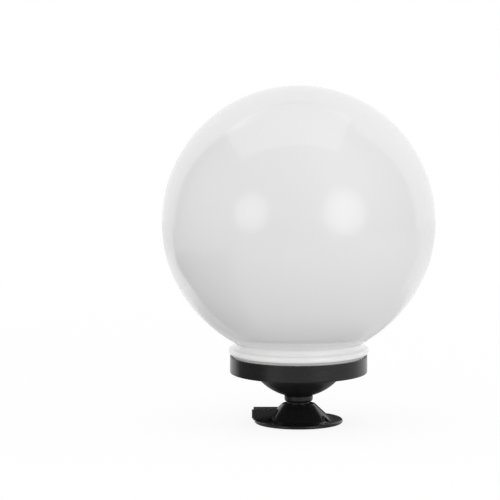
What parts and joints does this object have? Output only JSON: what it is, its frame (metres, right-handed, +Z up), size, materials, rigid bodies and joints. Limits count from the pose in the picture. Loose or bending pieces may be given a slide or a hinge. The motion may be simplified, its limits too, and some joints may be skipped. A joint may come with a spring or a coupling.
{
  "type": "globe post light",
  "caption": "Opal globe light on a short neck and black collar, carried by a clamped ball joint on a bell-shaped screw-down foot.",
  "frame": {"origin": "on the lamp's axis at the underside of the foot, which rests on the post or pillar", "axes": "+Z up along the lamp's axis, -Y towards the front, -X towards the cable cover"},
  "size_m": [0.24, 0.24, 0.298],
  "materials": {
    "opal_acrylic": "glossy opal, lets light through",
    "black_moulding": "satin",
    "pale_silicone": "smooth silicone",
    "black_rubber": "matt",
    "zinc_steel": "zinc plated",
    "acetal": "smooth",
    "ceramic": "glazed",
    "brass": "plain",
    "bulb_cap_metal": "nickel plated",
    "bulb_plastic": "matt white",
    "bulb_glass": "vitreous black",
    "natural_nylon": "natural",
    "brown_insulation": "flexible",
    "blue_insulation": "flexible"
  },
  "bodies": {
    "foot_mount": {"foot": "black_moulding", "cable_cover": "black_moulding", "cover_screw": "zinc_steel", "cable_grommet": "black_rubber", "ball_stud": "zinc_steel", "stud_washer": "zinc_steel", "stud_nut": "zinc_steel", "ball_retaining_ring": "zinc_steel"},
    "swivel": {"swivel_ball": "acetal"},
    "lamp_head": {"bowl": "black_moulding", "bowl_seal": "black_rubber", "bowl_screws": "zinc_steel", "collar": "black_moulding", "holder_bridge": "zinc_steel", "bridge_screws": "zinc_steel", "holder_screws": "zinc_steel", "lampholder_base": "ceramic", "lampholder_shell": "ceramic", "thread_sleeve": "brass", "centre_contact": "brass", "terminal_block": "natural_nylon", "terminal_clamps": "brass", "terminal_screws": "zinc_steel", "lead_live": "brown_insulation", "lead_neutral": "blue_insulation"},
    "locking_nut": {"clamp_nut": "black_moulding"},
    "diffuser": {"globe": "opal_acrylic", "globe_neck": "opal_acrylic", "globe_seal": "pale_silicone"},
    "bulb": {"bulb_tip": "zinc_steel", "bulb_insulator": "bulb_glass", "bulb_cap": "bulb_cap_metal", "bulb_housing": "bulb_plastic", "bulb_dome": "bulb_plastic"}
  },
  "joints": [
    {"name": "lamp_swivel", "type": "hinge", "parent": "foot_mount", "child": "swivel", "pos_m": [0, 0, 0.022], "axis": [0, 0, 1], "continuous": true},
    {"name": "lamp_tilt", "type": "hinge", "parent": "swivel", "child": "lamp_head", "pos_m": [0, 0, 0.022], "axis": [1, 0, 0], "range_deg": [-20, 20]},
    {"name": "nut_turn", "type": "hinge", "parent": "lamp_head", "child": "locking_nut", "pos_m": [0, 0, 0.022], "axis": [0, 0, 1], "continuous": true},
    {"name": "globe_turn", "type": "hinge", "parent": "lamp_head", "child": "diffuser", "pos_m": [0, 0, 0.056], "axis": [0, 0, 1], "range_deg": [0, 60]},
    {"name": "bulb_turn", "type": "hinge", "parent": "lamp_head", "child": "bulb", "pos_m": [0, 0, 0.08], "axis": [0, 0, 1], "continuous": true}
  ]
}
